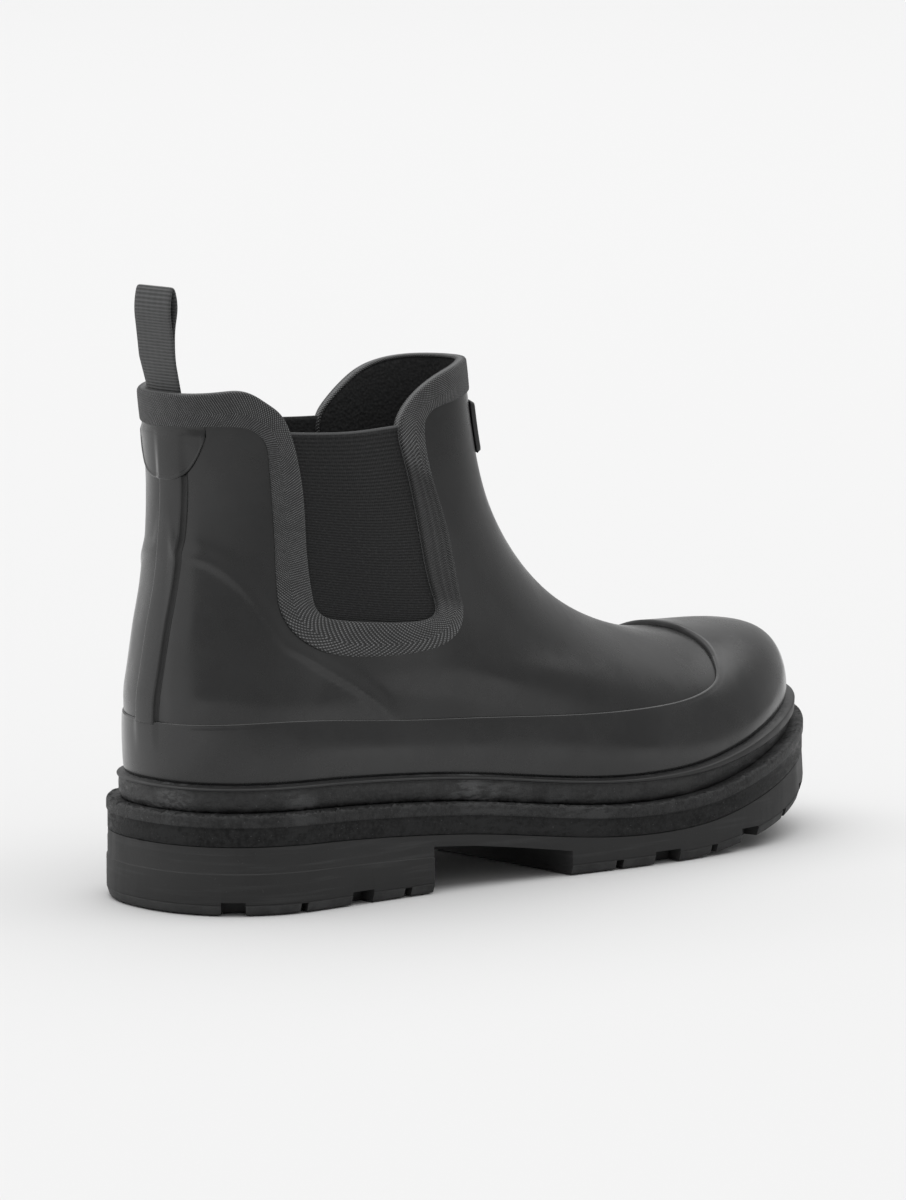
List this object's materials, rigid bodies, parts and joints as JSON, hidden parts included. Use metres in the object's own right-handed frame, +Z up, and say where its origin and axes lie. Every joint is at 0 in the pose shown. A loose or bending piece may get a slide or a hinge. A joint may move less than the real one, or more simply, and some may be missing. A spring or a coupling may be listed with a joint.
{
  "type": "rain boot",
  "caption": "Right ankle-high rubber rain boot with elastic side panels, taped collar, pull loop at the back and a thick lugged sole with a heel.",
  "frame": {"origin": "on the floor plane, below the middle of the boot's bounding box", "axes": "+Z up, +Y from heel to toe, +X towards the outer (right) side"},
  "size_m": [0.106, 0.289, 0.2011],
  "materials": {
    "outsole": "matte moulded",
    "midsole": "rough matte",
    "insole": "woven cloth",
    "upper": "satin matte",
    "gore_lateral": "ribbed elastic",
    "gore_medial": "ribbed elastic",
    "binding": "twill tape",
    "foxing": "rough matte",
    "rand": "satin matte",
    "loop_patch": "satin matte",
    "backstay": "satin matte",
    "front_tab": "satin",
    "pull_loop": "grosgrain webbing"
  },
  "bodies": {
    "root": {"outsole": "outsole", "midsole": "midsole", "insole": "insole", "upper": "upper", "gore_lateral": "gore_lateral", "gore_medial": "gore_medial", "binding": "binding", "foxing": "foxing", "rand": "rand", "loop_patch": "loop_patch", "backstay": "backstay", "front_tab": "front_tab", "pull_loop": "pull_loop"}
  },
  "joints": []
}
